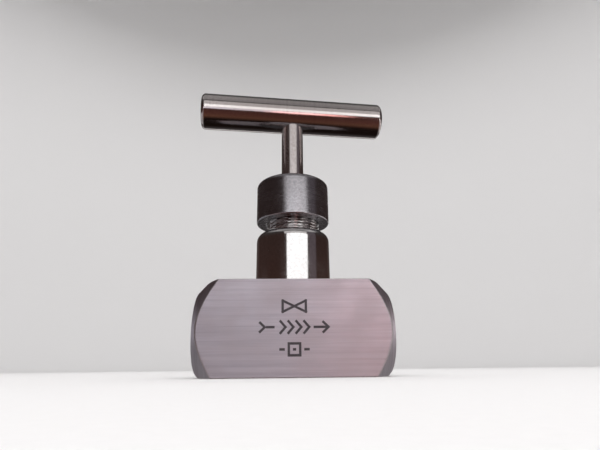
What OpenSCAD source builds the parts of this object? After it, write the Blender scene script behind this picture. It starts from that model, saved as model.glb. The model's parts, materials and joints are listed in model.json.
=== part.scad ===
// Needle valve with a bar-stock body, screwed round bonnet and T-bar handle.
// Millimetres, +Z up. The origin is the centre of the body's underside, the stem turns about Z,
// flow runs from the -X port to the +X port, and the valve is drawn closed.

/* [Body] */
// Length from port face to port face
body_l = 81; // [76:0.5:90]
// Width and height of the square bar
body_w = 38; // [36:0.5:42]
// Height of the port axis above the underside
port_z = 18; // [17:0.5:19]
// Diameter of the flat end face that the corners are turned down to
end_face_d = 34.4; // [32:0.2:36]
// Angle of the turned corners, measured from the port axis
end_turn_angle = 46.5; // [40:0.5:55]
// Chamfer along the bar's four long edges
bar_edge = 0.5; // [0.2:0.1:1]

/* [Ports] */
// Thread wall diameter of the 3/4-14 taper pipe port
port_d = 23.1; // [22.8:0.1:23.4]
// Depth of the port's wall from the end face
port_depth = 18; // [16:0.5:20]
// Diameter of the countersink at the port mouth
port_mouth_d = 27; // [25:0.5:28]
// Diameter of the flow passages
passage_d = 7; // [5:0.5:7]

/* [Seat] */
// Outside diameter of the pressed-in seat ring
seat_d = 12; // [11:0.5:13]
// Height of the seat ring
seat_h = 3.5; // [3:0.5:4]
// Diameter where the seat's cone opens at the top
seat_cone_d = 9.5; // [9:0.1:10]
// Included angle of the needle's point and of the seat
needle_angle = 60; // [50:1:70]

/* [Bonnet] */
// Outside diameter of the bonnet above the body
bonnet_d = 33; // [31:0.5:34]
// Height of the bonnet's shoulder above the body
bonnet_h = 24; // [22:0.5:24]
// Radius of the rounding on the bonnet's shoulder
bonnet_round = 3.8; // [2:0.2:4]
// Diameter of the thread that screws into the body
spigot_d = 26; // [25:0.5:27]
// Diameter of the packing neck's outside thread
neck_d = 24; // [23:0.5:25]
// Height of the packing neck above the shoulder
neck_h = 20; // [19:0.5:20.5]

/* [Gland cap] */
// Outside diameter of the cap
cap_d = 33.5; // [31:0.5:35]
// Gap that shows the neck's thread between the shoulder and the cap
cap_gap = 5; // [4:0.5:6]
// Height of the cap
cap_h = 20.3; // [20:0.1:22]
// Width of the chamfer round the cap's top
cap_chamfer = 2.6; // [1:0.1:3]

/* [Stem and handle] */
// Diameter of the polished stem
stem_d = 10.5; // [10:0.1:11]
// Major diameter of the operating thread
stem_thread_d = 14; // [13:0.5:15]
// Height of the T-bar's axis above the underside
bar_z = 125; // [120:0.5:130]
// Diameter of the T-bar
bar_d = 17.5; // [15:0.5:19]
// Length of the T-bar
bar_l = 90; // [80:1:100]
// Turn of the T-bar from the port axis when closed
bar_turn = 5.4; // [-30:0.1:30]

/* [Quality] */
// Facets round a full circle in the preview
$fn = 96; // [48:16:192]

/* [Hidden] */

eps = 0.5;         // how far a cutter runs past the face it cuts
run_gap = 0.05;    // radial clearance of a thread or a sliding fit
press_gap = 0.01;  // radial clearance left in a pressed fit

// Body heights, from the underside up
inlet_z = port_z - 7.5;       // low drilling, under the seat
outlet_z = port_z + 3.5;      // high drilling, above the seat
seat_top_z = port_z;
seat_bottom_z = seat_top_z - seat_h;
cavity_r = 9;                 // chamber round the needle
shoulder_z = 26.5;            // step that carries the bonnet's seal ring
seal_h = 1.5;
spigot_bottom_z = shoulder_z + seal_h;
drill_point = tan(31);        // rise of a drill's 118 degree point for each unit of radius
spigot_chamfer = 0.8;

// Bonnet heights
bonnet_z = body_w;
bonnet_top_z = bonnet_z + bonnet_h;
neck_top_z = bonnet_top_z + neck_h;
spanner_hole_r = 2.5;
spanner_hole_depth = 2.5;
spanner_angle = 40;           // each bonnet hole's turn from the back

// Lock pin, at the back left corner of the body's top
pin_r = 1.5;
pin_angle = 135;
pin_offset = bonnet_d / 2 + 0.4;
pin_depth = 6;
pin_rise = 3;

// Cap heights
cap_bottom_z = bonnet_top_z + cap_gap;
cap_top_z = cap_bottom_z + cap_h;
cap_web = 3.3;                // metal above the cap's bore
cap_web_z = cap_top_z - cap_web;
cap_chamfer_h = cap_chamfer * 0.62;
cap_edge = 0.5;

// Needle and stem
stem_r = stem_d / 2;
stem_hole_r = stem_r + run_gap;
needle_r = 5;                 // needle below its collar
tip_r = 1;                    // flat on the needle's point
collar_r = 6.35;              // needle collar and the stem's plain lower end
guide_r = 6.45;               // bonnet bore that guides them
collar_z = spigot_bottom_z + 0.5;
collar_h = 3;
shank_r = 3;                  // needle shank inside the stem's socket
shank_top_z = collar_z + collar_h + 6;
socket_r = shank_r + 0.06;
ball_r = 2;
stem_bottom_z = collar_z + collar_h + 0.1;
socket_top_z = shank_top_z + 2 * ball_r + 0.05;
stem_thread_r = stem_thread_d / 2;
thread_bottom_z = 40.5;
thread_l = 12.5;
thread_top_z = thread_bottom_z + thread_l;
backseat_h = stem_thread_r - stem_r;
lift = 7.5;                   // five turns of a 1.5 pitch thread
backseat_gap = 0.15;
backseat_z = thread_top_z + lift + backseat_gap;
clip_z = collar_z + collar_h + 2.1;
clip_h = 1.2;
clip_r = 3.85;
clip_groove_r = 2.4;
clip_slack = 0.1;             // room round the clip in each groove
clip_open_angle = 60;

// Packing chamber, with its stack of rings
chamber_r = 8.5;
chamber_z = 64;
chamber_top_edge = 0.6;
pack_out_r = chamber_r - 0.02;
pack_in_r = stem_hole_r;
pack_gap = 0.03;              // left between neighbouring rings
washer_h = 1.2;
adapter_h = 1.8;
ring_pitch = 3;
vee_h = 1.2;                  // rise of a ring's V edge
ring_z = chamber_z + washer_h + adapter_h;
follower_z = ring_z + 3 * ring_pitch + 3;
follower_r = chamber_r - run_gap;
follower_flange_r = 11;
follower_flange_h = 1.4;

// Wiper ring inside the cap's web
wiper_r = 0.75;
wiper_ring_r = stem_hole_r + wiper_r;
wiper_z = cap_web_z + 1.7;

// Handle
bar_r = bar_d / 2;
bar_edge_r = 1.2;             // chamfer round each end of the bar
stem_top_z = bar_z + 3.5;
screw_r = 3;
stem_flat_y = stem_r - 0.65;
screw_l = 3.5;
screw_socket_af = 3;
screw_socket_depth = 2;

// A ring with a square section between two radii and two heights
module ring(inner_r, outer_r, low_z, high_z) {
    translate([0, 0, low_z]) difference() {
        cylinder(r = outer_r, h = high_z - low_z);
        translate([0, 0, -eps]) cylinder(r = inner_r, h = high_z - low_z + 2 * eps);
    }
}

// A solid turned about Z from points given as [radius, height]
module turned(points) {
    rotate_extrude() polygon(points);
}

// The two ends of the body: children are drawn pointing along +Z at the -X and +X faces
module each_port() {
    for (side = [-1, 1])
        translate([side * body_l / 2, 0, port_z]) rotate([0, -side * 90, 0]) children();
}

// The square bar with its long edges broken
module square_bar() {
    half = body_w / 2;
    flat = half - bar_edge;
    outline = [
        [half, flat], [flat, half], [-flat, half], [-half, flat],
        [-half, -flat], [-flat, -half], [flat, -half], [half, -flat]
    ];
    translate([-body_l / 2, 0, body_w / 2]) rotate([0, 90, 0]) linear_extrude(body_l) polygon(outline);
}

// The lathe-turned envelope that takes the corners off both ends
module end_turning() {
    end_r = end_face_d / 2;
    full_r = body_w;
    run = (full_r - end_r) / tan(end_turn_angle);
    translate([-body_l / 2, 0, port_z]) rotate([0, 90, 0]) turned([
        [0, 0], [end_r, 0], [full_r, run], [full_r, body_l - run], [end_r, body_l], [0, body_l]
    ]);
}

// One pipe port: countersink, thread wall and drill point, entering along +Z
module port_cut() {
    mouth_r = port_mouth_d / 2;
    wall_r = port_d / 2;
    turned([
        [0, -eps], [mouth_r + eps, -eps], [wall_r, mouth_r - wall_r],
        [wall_r, port_depth], [0, port_depth + wall_r * drill_point]
    ]);
}

module passages() {
    half_l = body_l / 2 - port_depth;
    translate([-half_l - eps, 0, inlet_z]) rotate([0, 90, 0]) cylinder(d = passage_d, h = half_l + eps);
    translate([0, 0, inlet_z]) sphere(d = passage_d);
    translate([0, 0, inlet_z]) cylinder(d = passage_d, h = seat_bottom_z - inlet_z + eps);
    translate([0, 0, outlet_z]) rotate([0, 90, 0]) cylinder(d = passage_d, h = half_l + eps);
}

module pin_place() {
    rotate([0, 0, pin_angle]) translate([pin_offset, 0, 0]) children();
}

module body() color([0.60, 0.57, 0.60]) {
    difference() {
        intersection() {
            square_bar();
            end_turning();
        }
        each_port() port_cut();
        passages();
        translate([0, 0, seat_bottom_z]) cylinder(r = seat_d / 2 + press_gap, h = seat_h + eps);
        translate([0, 0, seat_top_z]) cylinder(r = cavity_r, h = body_w);
        translate([0, 0, shoulder_z]) cylinder(r = spigot_d / 2, h = body_w);
        pin_place() translate([0, 0, body_w - pin_depth])
            cylinder(r = pin_r + press_gap, h = pin_depth + eps);
    }
}

module seat_insert() color([0.72, 0.72, 0.74]) {
    bore_r = passage_d / 2;
    cone_r = seat_cone_d / 2;
    cone_h = (cone_r - bore_r) / tan(needle_angle / 2);
    turned([
        [bore_r, seat_bottom_z], [seat_d / 2, seat_bottom_z], [seat_d / 2, seat_top_z],
        [cone_r, seat_top_z], [bore_r, seat_top_z - cone_h]
    ]);
}

// Outside of the bonnet, from the spigot up to the packing neck
module bonnet_outside() {
    spigot_r = spigot_d / 2 - run_gap;
    relief_r = spigot_r - 1;
    relief_h = 1.5;
    outer_r = bonnet_d / 2;
    neck_r = neck_d / 2;
    turned(concat([
        [0, spigot_bottom_z], [spigot_r - spigot_chamfer, spigot_bottom_z],
        [spigot_r, spigot_bottom_z + spigot_chamfer], [spigot_r, bonnet_z - relief_h],
        [relief_r, bonnet_z - relief_h], [relief_r, bonnet_z], [outer_r, bonnet_z]
    ], [
        for (turn = [0:15:90])
            [outer_r - bonnet_round * (1 - cos(turn)), bonnet_top_z - bonnet_round * (1 - sin(turn))]
    ], [
        [neck_r, bonnet_top_z], [neck_r, neck_top_z - spigot_chamfer],
        [neck_r - spigot_chamfer, neck_top_z], [0, neck_top_z]
    ]));
}

// Inside of the bonnet: guide, operating thread, backseat, stem hole and packing chamber
module bonnet_inside() {
    nut_r = stem_thread_r + run_gap;
    nut_z = thread_bottom_z - 1;
    turned([
        [0, spigot_bottom_z - eps], [guide_r, spigot_bottom_z - eps], [guide_r, nut_z],
        [nut_r, nut_z], [nut_r, backseat_z], [stem_hole_r, backseat_z + nut_r - stem_hole_r],
        [stem_hole_r, chamber_z], [chamber_r, chamber_z], [chamber_r, neck_top_z - chamber_top_edge],
        [chamber_r + chamber_top_edge + eps, neck_top_z + eps], [0, neck_top_z + eps]
    ]);
}

// A blind radial hole for a pin spanner, in a round wall of the given radius
module spanner_hole(wall_r, z, angle) {
    rotate([0, 0, angle]) translate([wall_r - spanner_hole_depth, 0, z])
        rotate([0, 90, 0]) cylinder(r = spanner_hole_r, h = spanner_hole_depth + eps);
}

module bonnet() color([0.78, 0.77, 0.78]) {
    difference() {
        bonnet_outside();
        bonnet_inside();
        for (side = [-1, 1])
            spanner_hole(bonnet_d / 2, bonnet_z + bonnet_h * 0.42, 90 + side * spanner_angle);
        pin_place() translate([0, 0, bonnet_z - eps])
            cylinder(r = pin_r + press_gap, h = pin_rise + 2 * eps);
    }
}

module bonnet_seal_ring() color([0.66, 0.62, 0.60]) {
    ring(cavity_r + 0.4, spigot_d / 2 - run_gap, shoulder_z, spigot_bottom_z);
}

module bonnet_lock_pin() color([0.50, 0.50, 0.52]) {
    pin_place() translate([0, 0, body_w - pin_depth]) {
        cylinder(r = pin_r, h = pin_depth + pin_rise - 0.4);
        translate([0, 0, pin_depth + pin_rise - 0.4]) cylinder(r1 = pin_r, r2 = pin_r - 0.4, h = 0.4);
    }
}

module packing_washer() color([0.70, 0.70, 0.72]) {
    ring(pack_in_r, pack_out_r, chamber_z, chamber_z + washer_h);
}

// A V-edged packing ring: the rise of its lower and of its upper V may each be zero
module vee_ring(low_z, high_z, low_vee, high_vee) {
    mid_r = (pack_in_r + pack_out_r) / 2;
    turned(concat(
        [[pack_in_r, low_z]], low_vee > 0 ? [[mid_r, low_z + low_vee]] : [], [[pack_out_r, low_z]],
        [[pack_out_r, high_z]], high_vee > 0 ? [[mid_r, high_z + high_vee]] : [], [[pack_in_r, high_z]]
    ));
}

module packing_male_adapter() color([0.45, 0.45, 0.47]) {
    vee_ring(chamber_z + washer_h, ring_z - pack_gap, 0, vee_h);
}

module packing_ring(index) {
    low_z = ring_z + index * ring_pitch;
    vee_ring(low_z, low_z + ring_pitch - pack_gap, vee_h, vee_h);
}

module packing_ring_lower() color([0.93, 0.93, 0.90]) packing_ring(0);
module packing_ring_middle() color([0.93, 0.93, 0.90]) packing_ring(1);
module packing_ring_upper() color([0.93, 0.93, 0.90]) packing_ring(2);

module packing_female_adapter() color([0.45, 0.45, 0.47]) {
    vee_ring(ring_z + 3 * ring_pitch, follower_z, vee_h, 0);
}

module gland_follower() color([0.74, 0.73, 0.74]) {
    flange_z = cap_web_z - follower_flange_h;
    hole_r = stem_hole_r + run_gap;
    turned([
        [hole_r, follower_z], [follower_r, follower_z], [follower_r, flange_z],
        [follower_flange_r, flange_z], [follower_flange_r, cap_web_z], [hole_r, cap_web_z]
    ]);
}

module gland_cap() color([0.66, 0.65, 0.67]) {
    outer_r = cap_d / 2;
    bore_r = neck_d / 2 + run_gap;
    hole_r = stem_hole_r + 2 * run_gap;
    groove_h = wiper_r + run_gap;
    difference() {
        turned([
            [hole_r, cap_bottom_z], [outer_r - cap_edge, cap_bottom_z], [outer_r, cap_bottom_z + cap_edge],
            [outer_r, cap_top_z - cap_chamfer_h], [outer_r - cap_chamfer, cap_top_z], [hole_r, cap_top_z]
        ]);
        translate([0, 0, cap_bottom_z - eps]) cylinder(r = bore_r, h = cap_web_z - cap_bottom_z + eps);
        translate([0, 0, cap_bottom_z - eps])
            cylinder(r1 = bore_r + cap_edge + eps, r2 = bore_r, h = cap_edge + eps);
        ring(0, wiper_ring_r + wiper_r + run_gap, wiper_z - groove_h, wiper_z + groove_h);
        spanner_hole(outer_r, cap_bottom_z + cap_h * 0.45, 90);
    }
}

module stem_wiper() color([0.12, 0.12, 0.12]) {
    translate([0, 0, wiper_z]) rotate_extrude() translate([wiper_ring_r, 0]) circle(r = wiper_r);
}

// Needle: it rises and falls with the stem, and a clip lets the stem turn without it
module needle() color([0.70, 0.70, 0.72]) {
    seat_bore_r = passage_d / 2;
    slope = tan(needle_angle / 2);
    touch_z = seat_top_z - (seat_cone_d / 2 - seat_bore_r) / slope + 2 * run_gap;
    turned([
        [0, touch_z - (seat_bore_r - tip_r) / slope], [tip_r, touch_z - (seat_bore_r - tip_r) / slope],
        [needle_r, touch_z + (needle_r - seat_bore_r) / slope], [needle_r, collar_z],
        [collar_r, collar_z], [collar_r, collar_z + collar_h], [shank_r, collar_z + collar_h],
        [shank_r, clip_z - clip_slack], [clip_groove_r, clip_z - clip_slack],
        [clip_groove_r, clip_z + clip_h + clip_slack], [shank_r, clip_z + clip_h + clip_slack],
        [shank_r, shank_top_z], [0, shank_top_z]
    ]);
}

module needle_clip() color([0.35, 0.37, 0.42]) {
    difference() {
        ring(clip_groove_r + press_gap, clip_r, clip_z, clip_z + clip_h);
        translate([0, 0, clip_z - eps]) linear_extrude(clip_h + 2 * eps) polygon([
            [0, 0], 2 * clip_r * [cos(clip_open_angle / 2), sin(clip_open_angle / 2)],
            2 * clip_r * [cos(clip_open_angle / 2), -sin(clip_open_angle / 2)]
        ]);
    }
}

module thrust_ball() color([0.80, 0.80, 0.82]) {
    translate([0, 0, shank_top_z + ball_r]) sphere(r = ball_r);
}

module stem() color([0.80, 0.78, 0.79]) rotate([0, 0, bar_turn]) {
    groove_r = clip_r + clip_slack;
    top_edge = 0.5;
    difference() {
        turned([
            [0, stem_bottom_z], [collar_r, stem_bottom_z], [collar_r, thread_bottom_z],
            [stem_thread_r, thread_bottom_z], [stem_thread_r, thread_top_z],
            [stem_r, thread_top_z + backseat_h], [stem_r, stem_top_z - top_edge],
            [stem_r - top_edge, stem_top_z], [0, stem_top_z]
        ]);
        turned([
            [0, stem_bottom_z - eps], [socket_r, stem_bottom_z - eps],
            [socket_r, clip_z - clip_slack], [groove_r, clip_z - clip_slack],
            [groove_r, clip_z + clip_h + clip_slack], [socket_r, clip_z + clip_h + clip_slack],
            [socket_r, socket_top_z], [0, socket_top_z]
        ]);
        translate([-stem_r, stem_flat_y, bar_z - screw_r - 1]) cube([stem_d, stem_d, stem_top_z]);
    }
}

module t_bar() color([0.76, 0.73, 0.72]) rotate([0, 0, bar_turn]) {
    difference() {
        translate([-bar_l / 2, 0, bar_z]) rotate([0, 90, 0]) turned([
            [0, 0], [bar_r - bar_edge_r, 0], [bar_r, bar_edge_r], [bar_r, bar_l - bar_edge_r],
            [bar_r - bar_edge_r, bar_l], [0, bar_l]
        ]);
        translate([0, 0, bar_z - bar_r - eps])
            cylinder(r = stem_r + press_gap, h = bar_r + stem_top_z - bar_z + 2 * eps);
        translate([0, 0, bar_z]) rotate([-90, 0, 0]) cylinder(r = screw_r + press_gap, h = bar_d);
    }
}

module handle_set_screw() color([0.25, 0.25, 0.27]) rotate([0, 0, bar_turn]) {
    tip_edge = 0.5;
    translate([0, stem_flat_y, bar_z]) rotate([-90, 0, 0]) difference() {
        turned([[0, 0], [screw_r - tip_edge, 0], [screw_r, tip_edge], [screw_r, screw_l], [0, screw_l]]);
        translate([0, 0, screw_l - screw_socket_depth])
            cylinder(d = screw_socket_af / cos(30), h = screw_socket_depth + eps, $fn = 6);
    }
}

body();
seat_insert();
bonnet();
bonnet_seal_ring();
bonnet_lock_pin();
packing_washer();
packing_male_adapter();
packing_ring_lower();
packing_ring_middle();
packing_ring_upper();
packing_female_adapter();
gland_follower();
gland_cap();
stem_wiper();
needle();
needle_clip();
thrust_ball();
stem();
t_bar();
handle_set_screw();
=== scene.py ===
import json
import math

import bmesh
import bpy
from mathutils import Matrix, Vector


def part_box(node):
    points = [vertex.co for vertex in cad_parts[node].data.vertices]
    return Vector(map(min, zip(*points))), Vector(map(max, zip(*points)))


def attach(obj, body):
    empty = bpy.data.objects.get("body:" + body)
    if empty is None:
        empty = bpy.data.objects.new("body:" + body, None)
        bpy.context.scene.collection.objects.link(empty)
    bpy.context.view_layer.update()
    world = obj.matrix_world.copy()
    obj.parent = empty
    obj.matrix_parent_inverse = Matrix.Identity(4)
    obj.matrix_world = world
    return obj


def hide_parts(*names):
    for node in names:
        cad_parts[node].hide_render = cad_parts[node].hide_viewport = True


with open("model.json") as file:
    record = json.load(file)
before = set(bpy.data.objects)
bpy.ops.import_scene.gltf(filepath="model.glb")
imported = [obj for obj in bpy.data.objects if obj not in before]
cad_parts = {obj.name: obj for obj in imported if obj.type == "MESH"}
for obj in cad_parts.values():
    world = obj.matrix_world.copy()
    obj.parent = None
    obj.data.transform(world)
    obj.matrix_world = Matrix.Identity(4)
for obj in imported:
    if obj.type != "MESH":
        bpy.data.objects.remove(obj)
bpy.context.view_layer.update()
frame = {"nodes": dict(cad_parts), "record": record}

MM = 0.001
TAU = 2 * math.pi
CRISP_ANGLE = math.radians(34)  # sharper corners than this stay crisp


# ---------------------------------------------------------------- sizes taken from the frame

def box_mm(node):
    """Lowest and highest corner of a node at rest, in millimetres."""
    low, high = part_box(node)
    return [c / MM for c in low], [c / MM for c in high]


MOUNTS = {mount["name"]: mount for mount in frame["record"]["mounts"]}
PORT_Z = MOUNTS["inlet_port"]["pos_m"][2] / MM
PORT_R = MOUNTS["inlet_port"]["dims"]["r_mm"]

BODY_HIGH = box_mm("body")[1]
BONNET_LOW, BONNET_HIGH = box_mm("bonnet")
CAP_LOW, CAP_HIGH = box_mm("gland_cap")
STEM_LOW, STEM_HIGH = box_mm("stem")
BAR_LOW, BAR_HIGH = box_mm("t_bar")
PIN_LOW, PIN_HIGH = box_mm("bonnet_lock_pin")
PIN_HOLE_R = 1.52
PIN_PLACE = Matrix.Translation(Vector((PIN_LOW[0] + PIN_HIGH[0], PIN_LOW[1] + PIN_HIGH[1], 0)) * MM / 2)
SEAT_LOW, SEAT_HIGH = box_mm("seat_insert")
SEAL_LOW = box_mm("bonnet_seal_ring")[0]
NEEDLE_HIGH = box_mm("needle")[1]
WASHER_LOW = box_mm("packing_washer")[0]
FOLLOWER_HIGH = box_mm("gland_follower")[1]

# Body
BODY_HALF_L = BODY_HIGH[0]
BODY_HALF_W = BODY_HIGH[1]
BODY_TOP = BODY_HIGH[2]
END_FACE_R = 17.2              # flat ring left by the lathe round each port
END_ANGLE = math.radians(46.5)  # turned corners, measured from the port axis
LONG_EDGE = 0.45               # rounding along the bar's long edges
TURNED_EDGE = 0.45             # rounding where the turning meets the flats
PORT_DEPTH = 18.0
PORT_MOUTH_R = 13.5
PIPE_PITCH = 25.4 / 14         # 14 threads to the inch
PIPE_THREAD_DEPTH = 0.8 * PIPE_PITCH
PIPE_TAPER = 1 / 32            # radius lost for each unit of depth
PASSAGE_R = 3.5
INLET_DRILL_Z = PORT_Z - 7.5
OUTLET_DRILL_Z = PORT_Z + 3.5
CAVITY_R = 9.0
DRILL_SLOPE = math.tan(math.radians(31))
MARK_DEPTH = 0.25

# Bonnet, gland cap, stem and bar
BONNET_R = 16.5
SHOULDER_Z = 62.0
SHOULDER_ROUND = 3.8
NECK_R = 12.0
NECK_PITCH = 1.5
NECK_THREAD_DEPTH = 0.92
CAP_THREAD_DEPTH = 0.85
STEM_THREAD_DEPTH = 0.6
SPIGOT_R = 12.95
GUIDE_R = 6.45
NUT_R = 7.05
NUT_Z = 39.5
BACKSEAT_Z = 60.65
STEM_HOLE_R = 5.3
CHAMBER_R = 8.5
CAP_R = (CAP_HIGH[0] - CAP_LOW[0]) / 2
CAP_CHAMFER = 2.6
CAP_WEB_Z = FOLLOWER_HIGH[2]
STEM_R = 5.25
STEM_THREAD_LOW, STEM_THREAD_HIGH = 40.5, 53.0
STEM_THREAD_R = 7.0
STEM_FLAT_Y = 4.6
BAR_R = (BAR_HIGH[2] - BAR_LOW[2]) / 2
BAR_Z = (BAR_HIGH[2] + BAR_LOW[2]) / 2
BAR_HALF_L = 45.0
BAR_TURN = math.radians(5.4)
SPANNER_R, SPANNER_DEPTH = 2.5, 2.5
SPANNER_TURNS = (50, 130)      # degrees from +X, both behind
BONNET_SPANNER_Z = 48.08
CAP_SPANNER_Z = CAP_LOW[2] + 0.45 * (CAP_HIGH[2] - CAP_LOW[2])
SCREW_R = 3.0


# ---------------------------------------------------------------- camera, light and floor

CAMERA_AT = Vector((-4.3, -192.4, 3.5)) * MM
CAMERA_YAW = math.radians(2.29)
CAMERA_PITCH = math.radians(18.28)
CAMERA_ROLL = math.radians(-0.63)
CAMERA_LENS = 26.0


def place_camera():
    """A short lens held low in front of the body, tipped up at the handle."""
    ahead = Vector((math.sin(CAMERA_YAW) * math.cos(CAMERA_PITCH),
                    math.cos(CAMERA_YAW) * math.cos(CAMERA_PITCH), math.sin(CAMERA_PITCH)))
    level = Vector((math.cos(CAMERA_YAW), -math.sin(CAMERA_YAW), 0))
    above = level.cross(ahead)
    right = level * math.cos(CAMERA_ROLL) + above * math.sin(CAMERA_ROLL)
    up = right.cross(ahead)
    data = bpy.data.cameras.new("camera")
    data.lens = CAMERA_LENS
    data.clip_start = 1 * MM
    camera = bpy.data.objects.new("camera", data)
    turn = Matrix((right, up, -ahead)).transposed().to_4x4()
    camera.matrix_world = Matrix.Translation(CAMERA_AT) @ turn
    bpy.context.collection.objects.link(camera)
    bpy.context.scene.camera = camera


def panel(name, centre, width, height, facing, radiance, colour=(1, 1, 1), mirrored=True, lights_room=True):
    """A flat softbox at a place in metres, facing a point. One that isn't mirrored doesn't show
    in the steel, and one that doesn't light the room shows only there."""
    data = bpy.data.lights.new(name, "AREA")
    data.shape = "RECTANGLE"
    data.size, data.size_y = width, height
    data.energy = radiance * math.pi * width * height
    data.color = colour
    light = bpy.data.objects.new(name, data)
    light.location = centre
    light.rotation_euler = (Vector(facing) - Vector(centre)).to_track_quat("-Z", "Y").to_euler()
    light.visible_glossy = mirrored
    light.visible_diffuse = lights_room
    light.visible_camera = False
    bpy.context.collection.objects.link(light)


def light_studio():
    """Two pale windows high in front, a dim ceiling, and low cards round the valve. The floor and
    the wall have lights of their own, which the steel doesn't mirror."""
    middle = (0, 0, 0.06)
    panel("front_window", (0.15, -0.62, 0.235), 0.80, 0.19, (0.05, 0, 0.06), 1.40, (0.99, 0.99, 0.99))
    panel("high_window", (0.10, -0.60, 0.48), 0.92, 0.32, (0.06, 0, 0.09), 0.54, (1.0, 0.965, 0.955))
    panel("ceiling", (0.12, -0.20, 0.66), 1.15, 0.50, (0.12, -0.20, 0), 0.20, (1.0, 0.955, 0.955))
    panel("low_card", (-0.14, -0.62, 0.075), 0.68, 0.11, middle, 0.85, (0.97, 0.92, 1.0), lights_room=False)
    panel("right_card", (0.58, 0.17, 0.055), 0.5, 0.11, middle, 1.7, (1.0, 0.93, 0.92), lights_room=False)
    panel("left_card", (-0.58, 0.17, 0.055), 0.5, 0.11, middle, 0.9, (0.95, 0.95, 1.0), lights_room=False)
    panel("warm_card", (0.14, -0.56, 0.065), 0.13, 0.11, middle, 1.7, (1.0, 0.44, 0.40), lights_room=False)
    panel("edge_card", (0.45, -0.33, 0.045), 0.45, 0.08, middle, 1.5, (1.0, 0.96, 0.95), lights_room=False)
    panel("mauve_card", (0.50, -0.27, 0.25), 0.26, 0.45, middle, 0.065, (0.92, 0.84, 1.0),
          lights_room=False)
    panel("floor_light", (0, 0.1, 1.6), 1.6, 1.6, (0, 0.1, 0), 2.1, (1.0, 0.985, 0.985), mirrored=False)
    panel("wall_light", (0, -1.1, 1.1), 2.0, 1.6, (0, 1.6, 1.0), 1.2, (1.0, 0.985, 0.985), mirrored=False)
    panel("back_card", (0, 0.62, 0.065), 1.1, 0.13, middle, 0.9, lights_room=False)


def surround_studio():
    """What polished steel mirrors beyond the lights: a dark room with a brown floor in front,
    pale low down and high up to either side."""
    world = bpy.data.worlds.new("studio")
    bpy.context.scene.world = world
    world.use_nodes = True
    nodes, links = world.node_tree.nodes, world.node_tree.links
    nodes.clear()
    way = nodes.new("ShaderNodeTexCoord")
    parts = nodes.new("ShaderNodeSeparateXYZ")
    links.new(way.outputs["Generated"], parts.inputs[0])

    def along(axis, stops):
        """A colour for each direction, from stops of (how far along the axis, colour)."""
        ramp = nodes.new("ShaderNodeValToRGB")
        scale = nodes.new("ShaderNodeMapRange")
        scale.inputs["From Min"].default_value = -1
        links.new(parts.outputs[axis], scale.inputs["Value"])
        links.new(scale.outputs[0], ramp.inputs[0])
        elements = ramp.color_ramp.elements
        elements[0].position, elements[0].color = (stops[0][0] + 1) / 2, (*stops[0][1], 1)
        elements[1].position, elements[1].color = (stops[-1][0] + 1) / 2, (*stops[-1][1], 1)
        for at, colour in stops[1:-1]:
            elements.new((at + 1) / 2).color = (*colour, 1)
        return ramp.outputs[0]

    def joined(operation, first, second):
        both = nodes.new("ShaderNodeVectorMath")
        both.operation = operation
        links.new(first, both.inputs[0])
        links.new(second, both.inputs[1])
        return both.outputs[0]

    room = along("Z", [(-0.20, (0.010, 0.006, 0.005)), (0.05, (0.052, 0.024, 0.019)),
                       (0.30, (0.036, 0.021, 0.018)), (0.75, (0.05, 0.045, 0.045)),
                       (1.0, (0.12, 0.115, 0.115))])
    brown = along("Z", [(-0.96, (0, 0, 0)), (-0.84, (0.105, 0.045, 0.028)), (-0.62, (0.085, 0.030, 0.022)),
                        (-0.20, (0.050, 0.018, 0.014)), (0.05, (0, 0, 0))])
    in_front = along("Y", [(-0.12, (1, 1, 1)), (0.02, (0, 0, 0))])
    pale = along("Z", [(-0.60, (0.22, 0.215, 0.215)), (-0.30, (0.34, 0.33, 0.33)), (-0.17, (0, 0, 0)),
                       (0.68, (0, 0, 0)), (0.82, (0.40, 0.39, 0.39))])
    beside = along("X", [(-0.72, (1, 1, 1)), (-0.45, (0, 0, 0)), (0.45, (0, 0, 0)), (0.72, (1, 1, 1))])
    behind = along("Y", [(0.66, (0, 0, 0)), (0.93, (0.055, 0.052, 0.052))])
    back = nodes.new("ShaderNodeBackground")
    sides = joined("ADD", joined("MULTIPLY", pale, beside), behind)
    links.new(joined("ADD", joined("ADD", room, joined("MULTIPLY", brown, in_front)), sides),
              back.inputs["Color"])
    out = nodes.new("ShaderNodeOutputWorld")
    links.new(back.outputs[0], out.inputs[0])


def lay_floor():
    """A pale round floor that sweeps up into a pale wall all the way round."""
    radius, bend, top, turns = 1.7, 0.5, 2.2, 96
    outline = [(0.0001, 0.0), (0.4, 0.0), (0.8, 0.0)]
    for step in range(13):
        turn = step / 12 * math.pi / 2
        outline.append((radius - bend + bend * math.sin(turn), bend - bend * math.cos(turn)))
    outline.append((radius, top))
    points = [(r * math.cos(TAU * k / turns), r * math.sin(TAU * k / turns), z)
              for r, z in outline for k in range(turns)]
    rings = [range(turns * i, turns * i + turns) for i in range(len(outline))]
    faces = []
    for ring, above in zip(rings, rings[1:]):
        faces += bridge(ring, above)
    floor = made_of(new_piece("floor", points, faces), paper_material())
    floor.visible_glossy = False


# ---------------------------------------------------------------- mesh helpers

def new_piece(name, points, faces, edge=None):
    """A mesh object from points in metres. edge is 0 to 1 a point, where the real edge is worn."""
    mesh = bpy.data.meshes.new(name)
    mesh.from_pydata(points, [], faces)
    mesh.polygons.foreach_set("use_smooth", [True] * len(mesh.polygons))
    # A mesh object from points in metres. edge is 0 to 1 a point, how near it is to an edge, where rubbing
    # and a painted highlight lighten the steel.
    if edge is not None:
        mesh.attributes.new("edge", "FLOAT", "POINT").data.foreach_set("value", edge)
    face_outward(mesh)
    mesh.update()
    piece = bpy.data.objects.new(name, mesh)
    bpy.context.collection.objects.link(piece)
    return piece


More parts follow.
